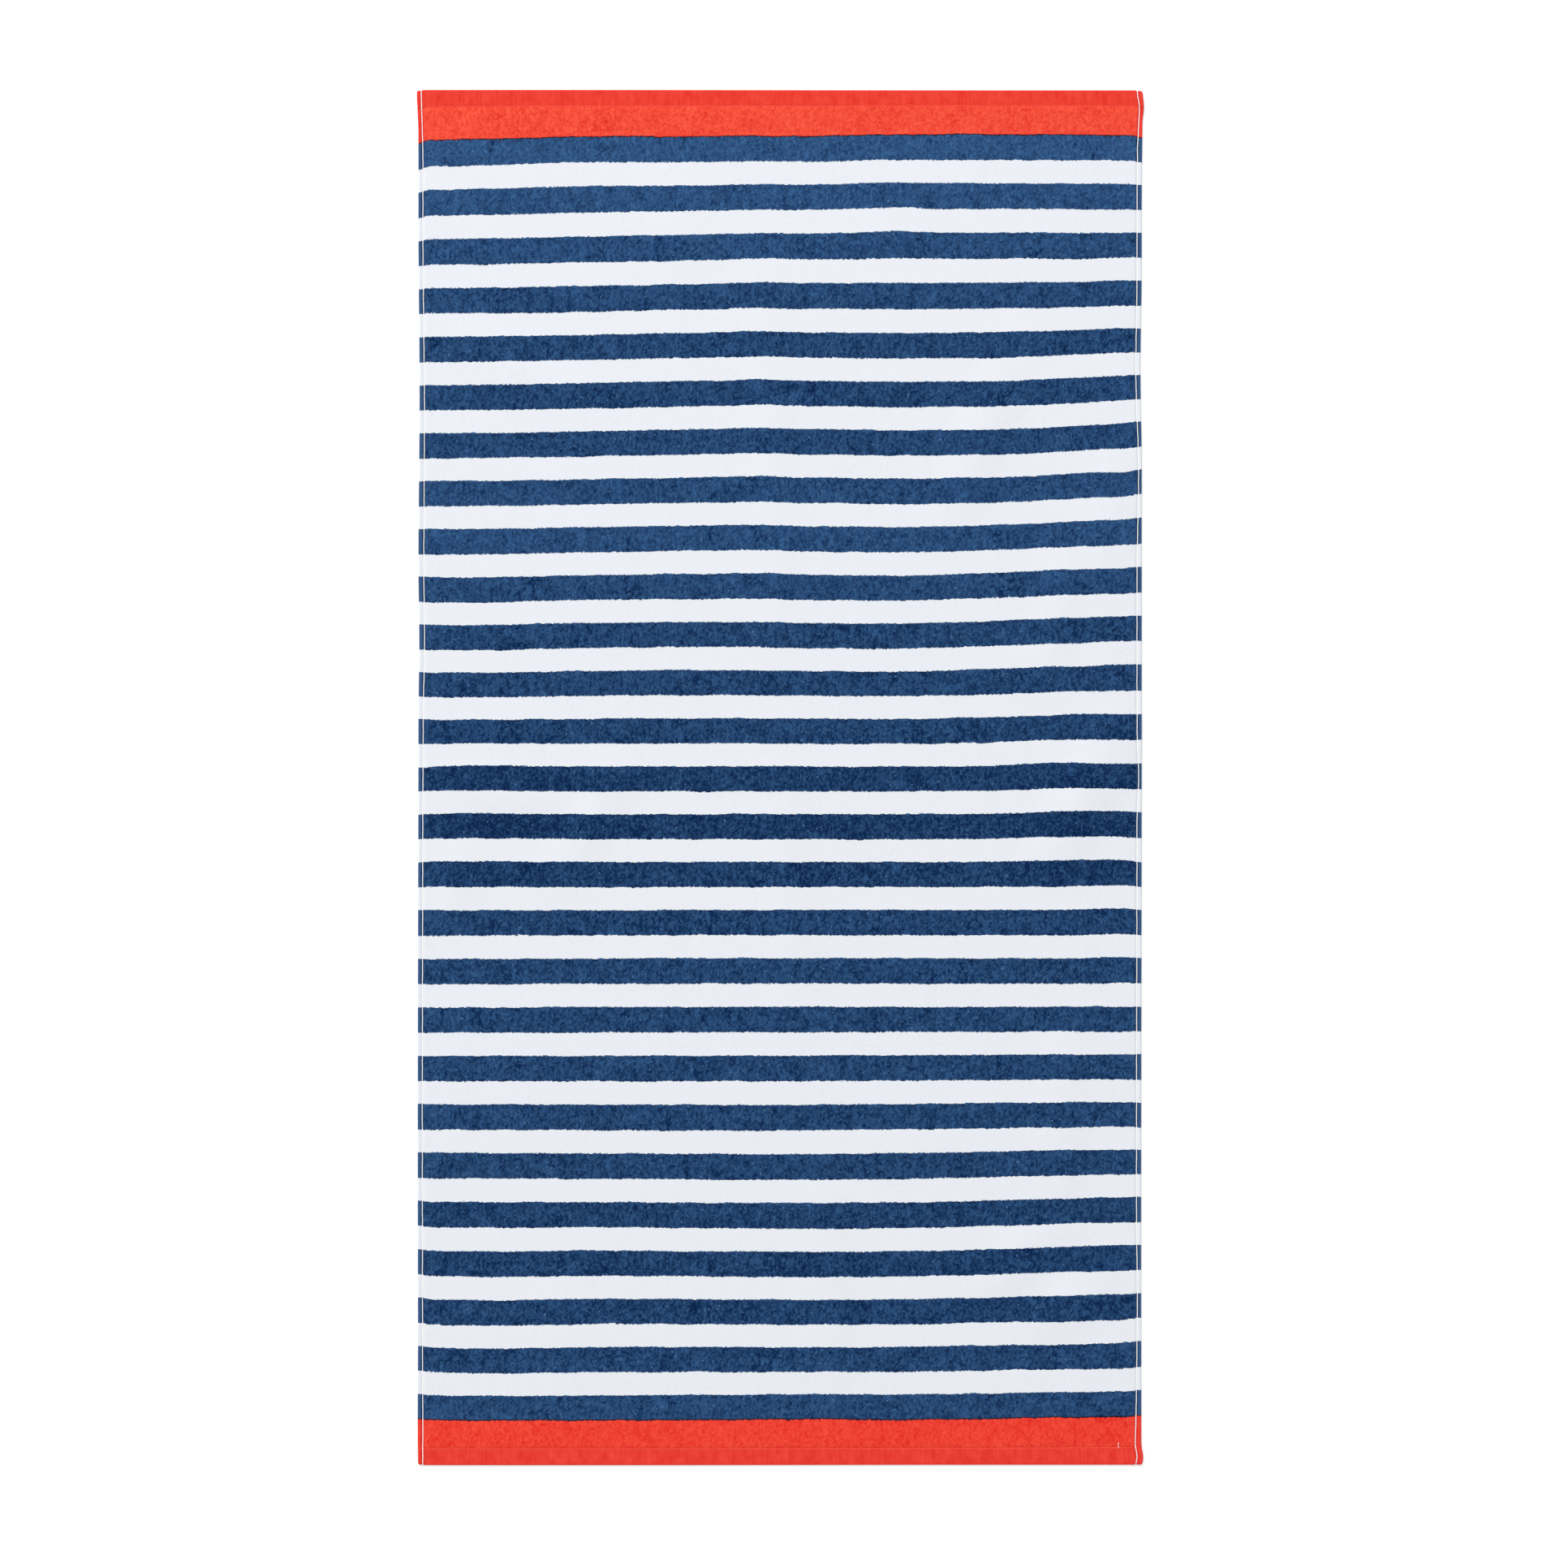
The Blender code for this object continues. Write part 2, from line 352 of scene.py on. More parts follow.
def insets(u, v):
    """How far flat places are from the nearest side and the nearest end, measured round the rounded corners."""
    from_side = HALF_WIDTH - np.abs(u)
    from_end = HALF_LENGTH - np.abs(v)
    in_corner = (from_side < CORNER_ROUND) & (from_end < CORNER_ROUND)
    round_inset = CORNER_ROUND - np.hypot(CORNER_ROUND - from_side, CORNER_ROUND - from_end)
    round_inset = np.maximum(round_inset, 0.0)
    return np.where(in_corner, round_inset, from_side), np.where(in_corner, round_inset, from_end)


def corner_layers(from_side, from_end):
    """1 where the side hem lies over the end hem, 0 elsewhere, with rounded edges."""
    edge_round = 0.0012
    on_side_hem = rise(from_side, 0.0, edge_round) * (1 - rise(from_side, SIDE_PILE, SIDE_HEM))
    step = rise(from_end, CORNER_FOLD - 0.0007, CORNER_FOLD + 0.0006)
    return on_side_hem * rise(from_end, 0.0, edge_round) * (1 - step)


# %% Gentle unevenness
def soft_noise(x, y, size, seed):
    """Smooth unevenness from about -1 to 1, with bumps of about this size, the same in every run."""
    return np.array([noise.noise((a / size, b / size, seed)) for a, b in zip(x, y)])


def unevenness(x, y, from_side, from_end):
    """How far the top stands above or below its section: gently over the pile, and less on the hems."""
    on_cloth = rise(from_side, SIDE_HEM, 0.020) * rise(from_end, END_HEM, 0.030)
    on_hem = rise(np.minimum(from_side, from_end), 0.0005, 0.0025) * (1 - on_cloth)
    pile = 0.00012 * soft_noise(x, y, 0.026, 1.5) + 0.00020 * soft_noise(x, y, 0.070, 7.5)
    hem = 0.00010 * soft_noise(x, y, 0.024, 3.5)
    return pile * on_cloth + hem * on_hem


# %% Where the top and the underside lie
def lay_cloth(u, v, column):
    """Where flat places lie on the towel's top or underside, which is the column of the hem sections to read."""
    x, y = lay_flat_place(u, v)
    from_side, from_end = insets(u, v)
    side = section_height(SIDE_SECTION, column, from_side)
    end = section_height(END_SECTION, column, from_end)
    if column == "underside":
        height = np.maximum(side, end)
    else:
        height = np.minimum(side, end) + CORNER_EXTRA * corner_layers(from_side, from_end)
        height = height + unevenness(x, y, from_side, from_end)
    return np.stack([x - CENTRE_X, y - CENTRE_Y, height + crease_lift(x, y)], axis=1)


for label, inset in (("on the side seam", SIDE_SEAM), ("on the pile", HALF_WIDTH / 2)):
    flat_u, flat_v = np.array([inset - HALF_WIDTH]), np.array([0.3])
    layers = lay_cloth(flat_u, flat_v, "top") - lay_cloth(flat_u, flat_v, "underside")
    print("the cloth is", round(layers[0, 2] * 1000, 2), "mm thick", label)

# %% [markdown]
# ## The sheet of cloth
#
# By hand this would be a grid in its true size, with its corners rounded and cut along the hem lines, and then
# thickened. That is what the next cells do. Solidify leaves a top and an underside with the same flat places, so
# both can then be shaped by the functions above. Each vertex first stores its flat place as an attribute, which is
# what the print reads.

# %% A flat grid with rounded corners and lines along the hems
CELLS_ACROSS = 104
CELLS_ALONG = 198


def start_piece():
    """Clear the selection, because operators act on all that is selected."""
    bpy.ops.object.select_all(action="DESELECT")


def finish_modifier(piece, modifier):
    """Make a modifier's result the mesh itself."""
    bpy.context.view_layer.objects.active = piece
    bpy.ops.object.modifier_apply(modifier=modifier.name)


start_piece()
bpy.ops.mesh.primitive_grid_add(x_subdivisions=CELLS_ACROSS, y_subdivisions=CELLS_ALONG, size=1.0)
towel = bpy.context.object
towel.name = "towel_cloth"
towel.scale = (TOWEL_WIDTH, TOWEL_LENGTH, 1.0)
bpy.ops.object.transform_apply(location=False, rotation=False, scale=True)

bpy.ops.object.mode_set(mode="EDIT")
bpy.ops.mesh.select_mode(type="VERT")
bpy.ops.mesh.select_all(action="DESELECT")
bpy.ops.object.mode_set(mode="OBJECT")
corner_distance = math.hypot(HALF_WIDTH, HALF_LENGTH) - CORNER_ROUND
for vertex in towel.data.vertices:
    vertex.select = math.hypot(vertex.co.x, vertex.co.y) > corner_distance
bpy.ops.object.mode_set(mode="EDIT")
bpy.ops.mesh.bevel(offset=CORNER_ROUND, segments=CORNER_STEPS, affect="VERTICES")
for side in (-1, 1):
    for row in SIDE_SECTION[1:]:
        bpy.ops.mesh.select_all(action="SELECT")
        bpy.ops.mesh.bisect(plane_co=(side * (HALF_WIDTH - row.inset), 0, 0), plane_no=(1, 0, 0))
    for row in END_SECTION[1:]:
        bpy.ops.mesh.select_all(action="SELECT")
        bpy.ops.mesh.bisect(plane_co=(0, side * (HALF_LENGTH - row.inset), 0), plane_no=(0, 1, 0))
bpy.ops.object.mode_set(mode="OBJECT")
print("flat sheet:", len(towel.data.polygons), "faces")

# %% Give it a top and an underside
wall = towel.modifiers.new("wall", "SOLIDIFY")
wall.thickness = PILE_THICKNESS
wall.offset = 1.0
finish_modifier(towel, wall)
print("thickened:", len(towel.data.vertices), "vertices")


# %% Store where each vertex is on the flat cloth, and lay it down
def read_points(mesh):
    """The vertices of a mesh as an array with a row of x, y and z for each."""
    points = np.empty(len(mesh.vertices) * 3)
    mesh.vertices.foreach_get("co", points)
    return points.reshape(-1, 3)


def store_points(mesh, points):
    """Move the vertices of a mesh to the rows of an array."""
    mesh.vertices.foreach_set("co", points.ravel())
    mesh.update()


flat = read_points(towel.data)
on_top = flat[:, 2] > PILE_THICKNESS / 2
laid = np.where(
    on_top[:, None],
    lay_cloth(flat[:, 0], flat[:, 1], "top"),
    lay_cloth(flat[:, 0], flat[:, 1], "underside"),
)

flat_place = towel.data.attributes.new("flat_place", "FLOAT_VECTOR", "POINT")
flat_place.data.foreach_set("vector", np.column_stack([flat[:, :2], on_top]).ravel())
store_points(towel.data, laid)


def triangle_count(piece):
    """How many triangles a piece's faces come to."""
    return sum(len(face.vertices) - 2 for face in piece.data.polygons)


print("towel cloth:", triangle_count(towel), "triangles, up to", round(laid[:, 2].max() * 1000, 2), "mm high")

# %% Round the shading, with a crisp line only where a fold is tighter than this
CRISP_ANGLE = 75
start_piece()
towel.select_set(True)
bpy.context.view_layer.objects.active = towel
bpy.ops.object.shade_smooth_by_angle(angle=math.radians(CRISP_ANGLE))

# %% [markdown]
# ## The thread
#
# The side hems are sewn with near-white thread and the end hems with red thread. One stitch is a tight little
# bulge of thread that dives into the cloth at both ends. It is modelled once, a little longer than its share of the
# seam, and repeated by an Array, so that each stitch runs into the next. Then the straight row is laid on the towel
# by the same function as the cloth, so it follows every bend of the hem.

# %% One stitch, and straight rows of it
STITCH_PITCH = 0.0030
STITCH_LENGTH = 0.0036
STITCH_WIDTH = 0.0016
STITCH_HEIGHT = 0.0012
STITCH_SIDES = 6
STITCH_RINGS = 5


def sew_row(name, run, pitch=STITCH_PITCH):
    """A straight row of stitches along X, centred on the origin, as long as the run."""
    start_piece()
    bpy.ops.mesh.primitive_uv_sphere_add(
        segments=STITCH_SIDES, ring_count=STITCH_RINGS, radius=0.5, rotation=(0, math.radians(90), 0)
    )
    row = bpy.context.object
    row.name = name
    row.scale = (STITCH_HEIGHT, STITCH_WIDTH, STITCH_LENGTH)
    bpy.ops.object.transform_apply(location=False, rotation=True, scale=True)
    repeat = row.modifiers.new("repeat", "ARRAY")
    repeat.use_relative_offset = False
    repeat.use_constant_offset = True
    repeat.constant_offset_displace = (pitch, 0, 0)
    repeat.count = round(run / pitch)
    finish_modifier(row, repeat)
    points = read_points(row.data)
    points[:, 0] -= pitch * (repeat.count - 1) / 2
    store_points(row.data, points)
    return row


# %% Lay the rows on the towel
# How far the middle of the thread is above the bottom of its groove.
THREAD_LIFT = {"top": 0.00020, "underside": 0.00010}
THREAD_WANDER = 0.00030
WANDER_SIZE = 0.009
ABOVE_FLOOR = 0.00002


def lay_row(row, seam_u, seam_v, column):
    """Bend a straight row onto its seam. A side seam is at a seam_u, and an end seam is at a seam_v."""
    along, across, height = read_points(row.data).T
    everywhere = np.ones_like(along)
    wander = THREAD_WANDER * soft_noise(along, (seam_u + 2 * seam_v) * everywhere, WANDER_SIZE, 4.5)
    if seam_u:
        # A quarter turn takes a row from X to Y and its left to -X. Without the minus its faces would point inwards.
        centre = lay_cloth(seam_u * everywhere, along, column)
        centre[:, 0] += wander - across
    else:
        centre = lay_cloth(along, seam_v * everywhere, column)
        centre[:, 1] += across + wander
    centre[:, 2] = np.maximum(centre[:, 2] + height + THREAD_LIFT[column], ABOVE_FLOOR)
    store_points(row.data, centre)
    return row


# %% Sew both sides and both ends
side_run = TOWEL_LENGTH
end_run = TOWEL_WIDTH - 2 * SIDE_HEM
side_rows = [
    lay_row(sew_row("side row", side_run), side * (HALF_WIDTH - SIDE_SEAM), 0.0, column)
    for side in (-1, 1)
    for column in ("top", "underside")
]
end_rows = [
    lay_row(sew_row("end row", end_run), 0.0, end * (HALF_LENGTH - END_SEAM), column)
    for end in (-1, 1)
    for column in ("top", "underside")
]
print(round(side_run / STITCH_PITCH), "stitches along a side and", round(end_run / STITCH_PITCH), "along an end")

# %% Two thin stray stitches of the same thread beside the right seam, just above the bottom hem
STRAY_U, STRAY_V = 0.4187, -0.8232
STRAY_PITCH = 0.0038
STRAY_THINNESS = 0.6
stray = sew_row("stray stitches", 2 * STRAY_PITCH, pitch=STRAY_PITCH)
stray_points = read_points(stray.data)
stray_points[:, 0] += STRAY_V
stray_points[:, 1] *= STRAY_THINNESS
store_points(stray.data, stray_points)
side_rows.append(lay_row(stray, STRAY_U, 0.0, "top"))

# %% Join them by colour of thread
def join_rows(name, rows):
    """Join rows of stitches into one piece."""
    start_piece()
    for row in rows:
        row.select_set(True)
    bpy.context.view_layer.objects.active = rows[0]
    bpy.ops.object.join()
    rows[0].name = name
    bpy.ops.object.shade_smooth()
    return rows[0]


side_thread = join_rows("side_seam_thread", side_rows)
end_thread = join_rows("end_seam_thread", end_rows)
for thread in (side_thread, end_thread):
    print(thread.name, triangle_count(thread), "triangles")

# %% [markdown]
# ## Finishes
#
# The print is worked out rather than painted. Each pattern is a number that varies over the cloth, such as the
# distance to the next stripe's edge, and such numbers are added, multiplied and compared like any others. A small
# class wraps a node's output so that this can be written as plain sums, and the nodes are made from them.

# %% Sums that become shader nodes
class Signal:
    """A value that varies over a surface: one output of one shader node."""

    def __init__(self, finish, socket):
        self.finish = finish
        self.socket = socket

    def maths(self, operation, *values):
        """A Math node of this operation on these values."""
        return self.finish.node("ShaderNodeMath", {"operation": operation}, dict(enumerate(values)))

    def sine(self):
        return self.maths("SINE", self)

    def larger(self, other):
        return self.maths("MAXIMUM", self, other)

    def __add__(self, other):
        return self.maths("ADD", self, other)

    def __sub__(self, other):
        return self.maths("SUBTRACT", self, other)

    def __rsub__(self, other):
        return self.maths("SUBTRACT", other, self)

    def __mul__(self, other):
        return self.maths("MULTIPLY", self, other)

    def __truediv__(self, other):
        return self.maths("DIVIDE", self, other)

    def __mod__(self, other):
        return self.maths("FLOORED_MODULO", self, other)

    def __abs__(self):
        return self.maths("ABSOLUTE", self)

    __radd__ = __add__
    __rmul__ = __mul__

    def rise(self, start, end):
        """0 before start, 1 after end, and smooth between. Start may be the larger one."""
        ramp = {"Value": self, "From Min": start, "From Max": end}
        return self.finish.node("ShaderNodeMapRange", {"interpolation_type": "SMOOTHSTEP"}, ramp)


# %% A Principled material, and the patterns that can feed it
class Finish:
    """A Principled material with the patterns that feed it."""

    def __init__(self, name, roughness, specular, sheen=0.0):
        self.material = bpy.data.materials.new(name)
        self.material.use_nodes = True
        self.tree = self.material.node_tree
        self.shader = self.tree.nodes["Principled BSDF"]
        self.shader.inputs["Roughness"].default_value = roughness
        self.shader.inputs["Specular IOR Level"].default_value = specular
        self.shader.inputs["Sheen Weight"].default_value = sheen

    def feed(self, socket, value):
        """Set a socket to a plain value, or link it to a signal."""
        if isinstance(value, Signal):
            self.tree.links.new(value.socket, socket)
        elif socket.type == "RGBA":
            socket.default_value = (*value, 1.0)
        else:
            socket.default_value = value

    def node(self, kind, settings, values, output=0):
        """Add a node, settings first and then socket values or links, and return one of its outputs."""
        node = self.tree.nodes.new(kind)
        for name, value in settings.items():
            setattr(node, name, value)
        for key, value in values.items():
            self.feed(node.inputs[key], value)
        return Signal(self, node.outputs[output])

    def mix(self, share, low, high):
        """A colour between low and high."""
        values = {0: share, 6: low, 7: high}
        return self.node("ShaderNodeMix", {"data_type": "RGBA"}, values, output=2)

    def shade(self, colour, amount):
        """A colour made lighter or darker by a varying amount."""
        return self.node("ShaderNodeVectorMath", {"operation": "SCALE"}, {"Vector": colour, "Scale": amount})

    def scaled(self, place, size):
        """The same place in steps of this size across, along and through the cloth."""
        steps = tuple(1 / length for length in size)
        return self.node("ShaderNodeVectorMath", {"operation": "MULTIPLY"}, {0: place, 1: steps})

    def grain(self, place, size, seed, detail=1.0):
        """Noise from about -1 to 1. Size is how large its bumps are across, along and through the cloth."""
        offset = {0: self.scaled(place, size), 1: (seed, 0.0, seed)}
        moved = self.node("ShaderNodeVectorMath", {"operation": "ADD"}, offset)
        noise_values = {"Vector": moved, "Scale": 1.0, "Detail": detail, "Roughness": 0.6}
        return (self.node("ShaderNodeTexNoise", {}, noise_values) - 0.5) * 4.0

    def fray(self, place, size, reach):
        """The same place, shifted at random so that outlines drawn on it are ragged."""
        shift = self.node("ShaderNodeTexNoise", {}, {"Vector": place, "Scale": 1 / size, "Detail": 1.0}, output=1)
        values = {0: shift, 1: (reach, reach, 0.0), 2: place}
        return self.node("ShaderNodeVectorMath", {"operation": "MULTIPLY_ADD"}, values)

    def clumps(self, place, size):
        """A shade from about -1 to 1 for each clump of pile. Size is how large they are."""
        settings = {"voronoi_dimensions": "2D", "feature": "SMOOTH_F1"}
        values = {"Vector": self.scaled(place, size), "Scale": 1.0, "Smoothness": 0.45}
        return (self.node("ShaderNodeTexVoronoi", settings, values, output=1) - 0.5) * 2.0

    def spots(self, place, spacing, radius):
        """Scattered spots on the flat cloth: 1 in the middle of a spot and 0 outside it."""
        values = {"Vector": self.scaled(place, (spacing, spacing, 1.0)), "Scale": 1.0}
        distance = self.node("ShaderNodeTexVoronoi", {}, values)
        return distance.rise(radius / spacing, radius / spacing / 2)

    def raise_bumps(self, height, depth):
        """Bump of this depth in metres, where height goes from about -1 to 1."""
        bump = self.node("ShaderNodeBump", {}, {"Height": height * depth, "Distance": 1.0, "Strength": 1.0})
        self.feed(self.shader.inputs["Normal"], bump)


# %% [markdown]
# ## Print and pile
#
# The print is 27 navy stripes and 26 white ones between two red bands. The dye sits on short cut pile, so an edge
# is crisp on the flat hems and ragged on the pile, clump by clump, and where red meets navy the two inks overlap in
# a thin dark line. Dyed pile looks lighter or darker by the way it was last brushed, in clumps of two millimetres
# and in soft patches. Over whole areas it gets painted sheen where it catches the light and painted shade where it
# leans away. A few large areas are listed, as a second attribute.

# %% The direction of the pile over whole areas, as lighter and darker navy: painted sheen where the pile catches the light, and painted shade where it leans away, as along the crosswise fold
SheenAndShade = namedtuple("SheenAndShade", "x y reach_x reach_y change")
SHEEN_AND_SHADE_AREAS = (
    SheenAndShade(0.00, 0.85, 9.0, 0.36, 0.48),
    SheenAndShade(0.00, 0.31, 9.0, 0.14, 0.20),
    SheenAndShade(0.00, 0.13, 9.0, 0.10, -0.02),
    SheenAndShade(0.00, -0.06, 9.0, 0.17, -0.24),
    SheenAndShade(-0.35, -0.04, 0.16, 0.14, -0.14),
    SheenAndShade(0.38, -0.06, 0.14, 0.14, -0.14),
    SheenAndShade(0.00, -0.60, 9.0, 0.16, -0.13),
    SheenAndShade(0.00, -0.80, 9.0, 0.10, 0.14),
    SheenAndShade(-0.44, 0.00, 0.04, 9.0, 0.08),
    SheenAndShade(0.44, 0.00, 0.04, 9.0, 0.08),
)
sheen_and_shade_change = sum(
    sheen_and_shade.change * hump(flat[:, 0] - sheen_and_shade.x, sheen_and_shade.reach_x) * hump(flat[:, 1] - sheen_and_shade.y, sheen_and_shade.reach_y) for sheen_and_shade in SHEEN_AND_SHADE_AREAS
)
sheen_and_shade_attribute = towel.data.attributes.new("sheen_and_shade", "FLOAT", "POINT")
sheen_and_shade_attribute.data.foreach_set("value", sheen_and_shade_change)
# The change is painted sheen where it is above 0, and painted shade where it is below.
print("the pile leans from", round(sheen_and_shade_change.min(), 2), "for darker to", round(sheen_and_shade_change.max(), 2), "for lighter")

# %% Colours of the dyes, from pile that leans away to pile that catches the light
NAVY_DARK = (0.0005, 0.0130, 0.0560)
NAVY_LIGHT = (0.0350, 0.1060, 0.2480)
NAVY_SPECK = (0.120, 0.230, 0.400)
NAVY_HEM = (0.0320, 0.0800, 0.1850)
WHITE = (0.678, 0.702, 0.745)
RED_DARK = (0.560, 0.0060, 0.0060)
RED_LIGHT = (0.850, 0.1050, 0.0560)
# The deeper red is painted shade for the band at the foot.
RED_FOOT_SHADE = (0.760, 0.0060, 0.0120)
RED_HEM_DARK = (0.655, 0.0280, 0.0180)
RED_HEM_LIGHT = (0.745, 0.0570, 0.0370)
OVERLAP = (0.0150, 0.0040, 0.0080)
LOOPS = (0.730, 0.728, 0.715)
SIDE_THREAD = (0.840, 0.8400, 0.8300)
END_THREAD = (0.800, 0.0700, 0.0400)

# %% Stripes, from the inner edge of the top red band down to that of the bottom one
FIRST_EDGE = 0.7902
NAVY_STRIPE = 0.0316
WHITE_STRIPE = 0.0281
NAVY_COUNT = 27
STRIPE_PAIR = NAVY_STRIPE + WHITE_STRIPE
PRINTED_RUN = NAVY_COUNT * STRIPE_PAIR - WHITE_STRIPE
print("stripes from", FIRST_EDGE, "to", round(FIRST_EDGE - PRINTED_RUN, 4))

# %% Where a place is on the flat cloth, and whether pile stands there
PILE_START = 0.0006
PILE_FULL = 0.0010
terry = Finish("printed velour terry", roughness=0.92, specular=0.06, sheen=0.03)
place = terry.node("ShaderNodeAttribute", {"attribute_name": "flat_place"}, {}, output=1)
sheen_and_shade = terry.node("ShaderNodeAttribute", {"attribute_name": "sheen_and_shade"}, {}, output=2)
split = terry.node("ShaderNodeSeparateXYZ", {}, {"Vector": place})
across, along, top = (Signal(terry, socket) for socket in split.socket.node.outputs)

from_side = HALF_WIDTH - abs(across)
from_end = HALF_LENGTH - abs(along)
inside_sides = from_side.rise(SIDE_PILE - PILE_START, SIDE_PILE + PILE_FULL)
inside_ends = from_end.rise(END_HEM - PILE_START, END_HEM + PILE_FULL)
on_pile = inside_sides * inside_ends

# %% Unevenness of the pile: clumps and tufts, patches, streaks, a slow wander, pale specks and crumples, whose lines are darkened as painted shade
frayed = terry.fray(place, size=0.00084, reach=0.0045)
clumps = terry.clumps(frayed, (0.0021, 0.0025, 1.0))
specks = terry.spots(frayed, spacing=0.0088, radius=0.0010)
tufts = terry.grain(place, (0.0014, 0.0016, 1.0), seed=3.0, detail=2.0)
patches = terry.grain(place, (0.0120, 0.0170, 1.0), seed=5.0, detail=3.0)
streaks = terry.grain(place, (0.0022, 0.0340, 1.0), seed=9.0)
wander = terry.grain(place, (0.0400, 0.0600, 1.0), seed=13.0)
fine = terry.grain(place, (0.0007, 0.0007, 1.0), seed=21.0)
crumple_lines = abs(terry.grain(place, (0.0170, 0.0210, 1.0), seed=31.0)).rise(0.22, 0.0)
crumples = crumple_lines * terry.grain(place, (0.0500, 0.0700, 1.0), seed=37.0).rise(0.0, 0.7)

# How much each counts in the lightness of dyed pile. The crumples darken it as painted shade in their lines.
mottle_and_crumple_shade = clumps * 0.41 + tufts * 0.23 + patches * 0.17 + streaks * 0.08 + wander * 0.06 - crumples * 0.26
print(len(terry.tree.nodes), "nodes so far")

# %% Where each dye is, with ragged edges, and the thin line where two inks overlap
EDGE_BLUR = 0.0004
OVERLAP_WIDTH = 0.0011
ragged = (clumps * 0.0009 + tufts * 0.0003) * on_pile + patches * 0.0003 + wander * 0.0007
below_first = FIRST_EDGE - along + ragged
past_last = below_first - PRINTED_RUN
in_pair = below_first % STRIPE_PAIR
in_navy = in_pair.rise(0.0, EDGE_BLUR) * in_pair.rise(NAVY_STRIPE + EDGE_BLUR, NAVY_STRIPE - EDGE_BLUR)
in_red = below_first.rise(EDGE_BLUR, -EDGE_BLUR) + past_last.rise(-EDGE_BLUR, EDGE_BLUR)
in_overlap = abs(below_first).rise(OVERLAP_WIDTH, 0.0) + abs(past_last).rise(OVERLAP_WIDTH, 0.0)
in_overlap = in_overlap * (1.25 + patches * 0.35) * (0.8 + on_pile * 0.2)

# %% Painted shade: darker lines in the groove beside each side seam and at the step where the side hem leaves the end hem, and painted light on white cloth there
seam_groove_shade = abs(from_side - SIDE_SEAM).rise(0.0023, 0.0014)
corner_step_shade = abs(from_end - CORNER_FOLD).rise(0.0009, 0.0002) * from_side.rise(SIDE_PILE + 0.0008, SIDE_PILE)
groove_shade_and_light = seam_groove_shade.larger(corner_step_shade)

# %% The dyes on the pile and on the hems
NAVY_USUAL = 0.36
RED_USUAL = 0.48
FOOT_SHADE = 0.22
# The navy's lightness gets painted sheen and shade over whole areas from the second attribute.
navy_pile = terry.mix(NAVY_USUAL + sheen_and_shade * 0.56 + mottle_and_crumple_shade, NAVY_DARK, NAVY_LIGHT)
navy_pile = terry.mix(specks * 0.7, navy_pile, NAVY_SPECK)
navy = terry.mix(on_pile, NAVY_HEM, navy_pile)
# Painted shade: the navy darkens in the grooves beside the seams and at the corner step.
navy = terry.mix(groove_shade_and_light * 0.75, navy, NAVY_DARK)

# Painted shade: the red at the foot of the towel is made a little deeper and darker, as the top band catches more
# light.
# The red pile gets the same painted sheen and shade over whole areas, at about a third of the strength.
red_pile = terry.mix(RED_USUAL + sheen_and_shade * 0.18 + mottle_and_crumple_shade * 0.75, RED_DARK, RED_LIGHT)
red_pile = terry.mix(along.rise(0.5, -0.5) * FOOT_SHADE, red_pile, RED_FOOT_SHADE)
red_hem = terry.mix(0.5 + patches * 0.55 + streaks * 0.3, RED_HEM_DARK, RED_HEM_LIGHT)
red = terry.mix(on_pile, red_hem, red_pile)
# Painted shade: the red darkens in the same grooves.
red = terry.mix(groove_shade_and_light * 0.5, red, RED_DARK)

# Painted light: white cloth is made brighter beside the seams, against the shadow in their grooves.
white = terry.shade(WHITE, 1.0 + mottle_and_crumple_shade * 0.04 + groove_shade_and_light * 0.035)
printed = terry.mix(in_navy, white, navy)
printed = terry.mix(in_red, printed, red)
printed = terry.mix(in_overlap, printed, OVERLAP)

# %% The face and the folded hems are printed, and on the back a trace of the print shows through the loops
SHOW_THROUGH = 0.05
FOLD_START = 0.0003
FOLD_FULL = 0.0006
on_face = top.rise(0.30, 0.50)
past_side_hem = from_side.rise(SIDE_HEM - FOLD_START, SIDE_HEM + FOLD_FULL)
past_end_hem = from_end.rise(END_HEM - FOLD_START, END_HEM + FOLD_FULL)
is_printed = on_face.larger(1.0 - past_side_hem * past_end_hem)
back = terry.mix(SHOW_THROUGH, LOOPS, printed)
terry.feed(terry.shader.inputs["Base Color"], terry.mix(is_printed, back, printed))

# %% Relief too small for the mesh: cut pile on the face, loops on the back and weave on the hems
LOOP_SIZE = (1 / 560, 1 / 420, 1.0)
WEAVE = 0.00014
loops = terry.node("ShaderNodeTexVoronoi", {"feature": "F1"}, {"Vector": terry.scaled(place, LOOP_SIZE)})
pile_relief = tufts * 0.00006 + fine * 0.00003 - crumples * 0.00012
loop_relief = (0.5 - loops) * 0.0004
hem_relief = (across / WEAVE).sine() * (along / WEAVE).sine() * 0.00005
relief = on_pile * (pile_relief * on_face + loop_relief * (1.0 - on_face)) + (1.0 - on_pile) * hem_relief
terry.raise_bumps(relief, 1.0)
towel.data.materials.append(terry.material)
print("terry:", len(terry.tree.nodes), "nodes")

# %% The thread
STRAND = (0.0004, 0.0004, 0.0004)
STRAND_SHADE = 0.08
STRAND_DEPTH = 0.00003


def thread_finish(name, colour):
    """Twisted thread of one colour."""
    finish = Finish(name, roughness=0.7, specular=0.3)
    where = finish.node("ShaderNodeTexCoord", {}, {}, output=3)
    strands = finish.grain(where, STRAND, seed=2.0)
    finish.feed(finish.shader.inputs["Base Color"], finish.shade(colour, 1.0 + strands * STRAND_SHADE))
    finish.raise_bumps(strands, STRAND_DEPTH)
    return finish.material


side_thread.data.materials.append(thread_finish("near-white thread", SIDE_THREAD))
end_thread.data.materials.append(thread_finish("red thread", END_THREAD))

# %% [markdown]
# ## Floor, light and camera
#
# The towel lies on a plain pale floor, in soft, bright light from all round. A large lamp beyond its top left
# corner shines a little along the cloth, which is what shades the creases. The camera looks straight down.

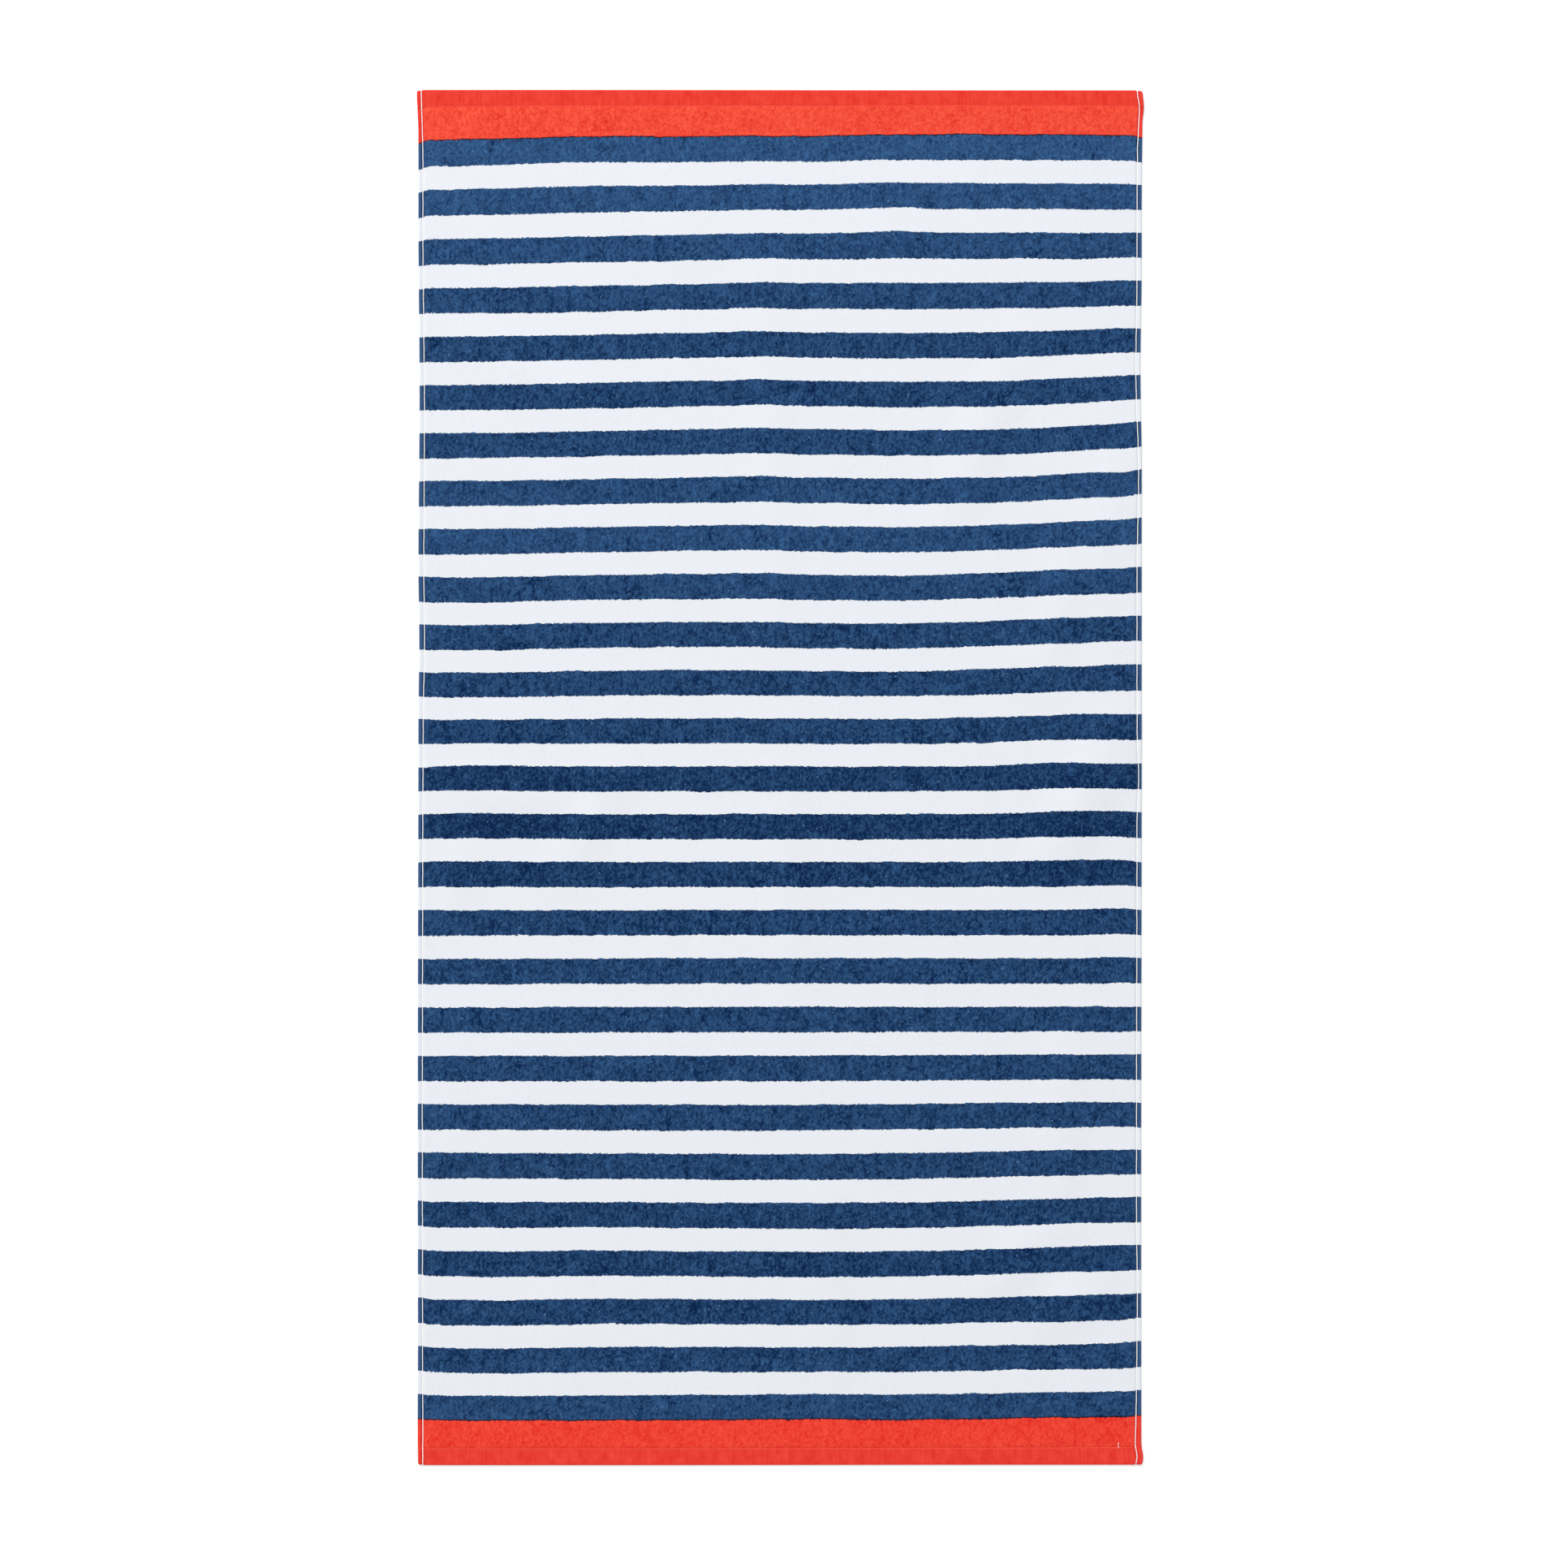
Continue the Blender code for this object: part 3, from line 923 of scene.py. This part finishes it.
# %% A plain pale floor, a hair below the cloth
FLOOR_SIZE = 40.0
FLOOR_Z = -0.0002
FLOOR_COLOUR = (0.96, 0.96, 0.96)
start_piece()
bpy.ops.mesh.primitive_plane_add(size=FLOOR_SIZE, location=(0, 0, FLOOR_Z))
floor = bpy.context.object
floor.name = "pale floor"
pale = Finish("pale floor", roughness=1.0, specular=0.0)
pale.feed(pale.shader.inputs["Base Color"], FLOOR_COLOUR)
floor.data.materials.append(pale.material)

# %% Soft studio light
ROOM_LIGHT = 0.89
KEY_PLACE = (-5.85, 10.1, 8.45)
KEY_SIZE = 6.8
KEY_POWER = 1273.0
scene = bpy.context.scene
world = bpy.data.worlds.new("studio")
world.use_nodes = True
world.node_tree.nodes["Background"].inputs["Color"].default_value = (1.0, 1.0, 1.0, 1.0)
world.node_tree.nodes["Background"].inputs["Strength"].default_value = ROOM_LIGHT
scene.world = world
scene.view_settings.view_transform = "Standard"


def soft_light(name, place, size, power):
    """A square area light that faces the middle of the towel."""
    lamp = bpy.data.lights.new(name, "AREA")
    lamp.size = size
    lamp.energy = power
    holder = bpy.data.objects.new(name, lamp)
    holder.location = place
    holder.rotation_euler = (-Vector(place)).to_track_quat("-Z", "Y").to_euler()
    scene.collection.objects.link(holder)
    return holder


soft_light("key light", KEY_PLACE, KEY_SIZE, KEY_POWER)
print("key light", round(Vector(KEY_PLACE).length, 2), "m from the towel")

# %% A camera straight above
FRAME_WIDTH = 1.940
FRAME_MIDDLE = (0.0045, -0.0080)
FOCAL_LENGTH = 100.0
SENSOR_WIDTH = 36.0
camera_height = FRAME_WIDTH * FOCAL_LENGTH / SENSOR_WIDTH
camera = bpy.data.cameras.new("overhead camera")
camera.lens = FOCAL_LENGTH
camera.sensor_width = SENSOR_WIDTH
camera_holder = bpy.data.objects.new("overhead camera", camera)
camera_holder.location = (*FRAME_MIDDLE, camera_height)
scene.collection.objects.link(camera_holder)
scene.camera = camera_holder
print("camera", round(camera_height, 3), "m up")

# %% [markdown]
# ## Hand over
#
# The cloth stands for the plain solid of the imported model, and the thread is sewn into it. All of it is one body
# that rests on the floor.

# %% Say what each piece is
for piece in (towel, side_thread, end_thread):
    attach(piece, "root")
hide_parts("towel")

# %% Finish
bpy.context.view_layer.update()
